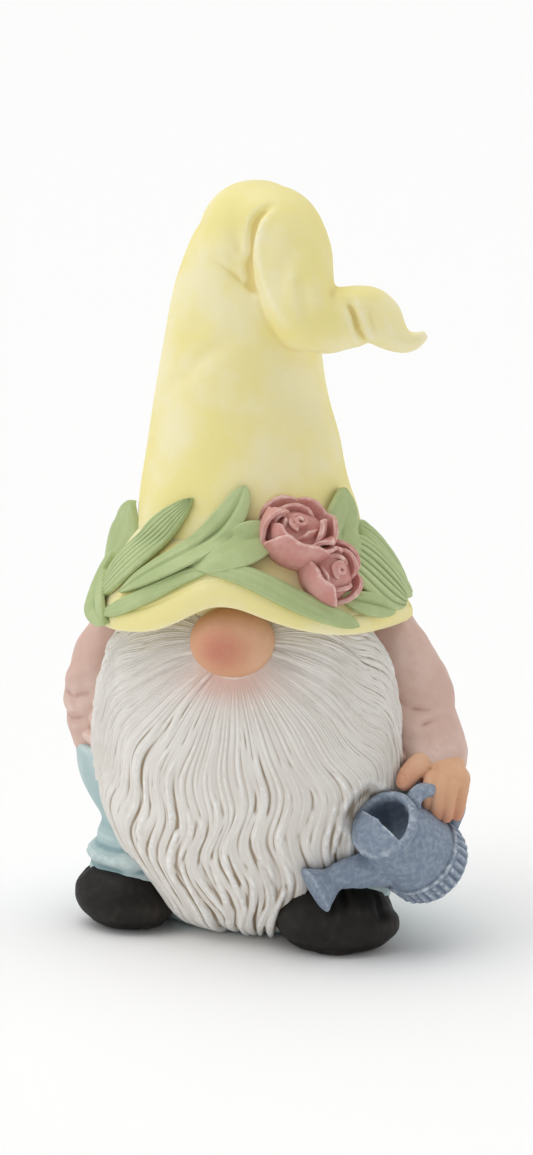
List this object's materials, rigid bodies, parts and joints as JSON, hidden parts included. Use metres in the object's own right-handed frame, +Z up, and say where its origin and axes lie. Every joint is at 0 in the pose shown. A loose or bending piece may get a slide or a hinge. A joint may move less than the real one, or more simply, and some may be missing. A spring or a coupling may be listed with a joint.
{
  "type": "garden gnome",
  "caption": "Standing garden gnome with a tall bent hat, leaf and rose trim, a long beard that hides the face up to a round nose, and a small watering can in one hand.",
  "frame": {"origin": "on the ground, in the middle of the flat face that the gnome stands on", "axes": "+Z up; the gnome faces -Y; its left hand, with the watering can, is on +X"},
  "size_m": [0.1774, 0.1346, 0.311],
  "materials": {
    "hat_paint": "matte painted cast resin, pale yellow with a whitish dry brush",
    "beard_paint": "matte off-white paint with a warm grey wash in the grooves",
    "skin_paint": "matte skin tone paint with a soft pink blush",
    "jumper_paint": "matte dusty pink paint",
    "trouser_paint": "matte pale aqua blue paint",
    "shoe_paint": "satin near-black brown paint",
    "leaf_paint": "matte sage green paint with a darker wash",
    "rose_paint": "matte dusty rose paint with pale edges",
    "can_paint": "matte slate blue paint with a white dry brush",
    "bare_resin": "unpainted cast resin",
    "bung_rubber": "soft grey rubber",
    "pin_steel": "plain steel wire"
  },
  "bodies": {
    "root": {"trousers": "trouser_paint", "left_cuff": "trouser_paint", "right_cuff": "trouser_paint", "jumper": "jumper_paint", "left_sleeve": "jumper_paint", "right_sleeve": "jumper_paint", "beard": "beard_paint", "nose": "skin_paint", "left_hand": "skin_paint", "hat_crown": "hat_paint", "hat_brim": "hat_paint", "hat_tail": "hat_paint", "hat_curl": "hat_paint", "left_shoe": "shoe_paint", "right_shoe": "shoe_paint", "base_plate": "bare_resin", "base_bung": "bung_rubber", "curl_pin": "pin_steel", "leaf_01": "leaf_paint", "leaf_02": "leaf_paint", "leaf_03": "leaf_paint", "leaf_04": "leaf_paint", "leaf_05": "leaf_paint", "leaf_06": "leaf_paint", "leaf_07": "leaf_paint", "leaf_08": "leaf_paint", "leaf_09": "leaf_paint", "leaf_10": "leaf_paint", "leaf_11": "leaf_paint", "leaf_12": "leaf_paint", "leaf_13": "leaf_paint", "leaf_14": "leaf_paint", "leaf_15": "leaf_paint", "leaf_16": "leaf_paint", "large_rose_heart": "rose_paint", "large_rose_inner_petals": "rose_paint", "large_rose_outer_petals": "rose_paint", "small_rose_heart": "rose_paint", "small_rose_inner_petals": "rose_paint", "small_rose_outer_petals": "rose_paint", "can_body": "can_paint", "can_base_band": "can_paint", "can_collar": "can_paint", "can_hood": "can_paint", "can_spout": "can_paint", "can_sprinkler": "can_paint", "can_handle": "can_paint"}
  },
  "joints": []
}
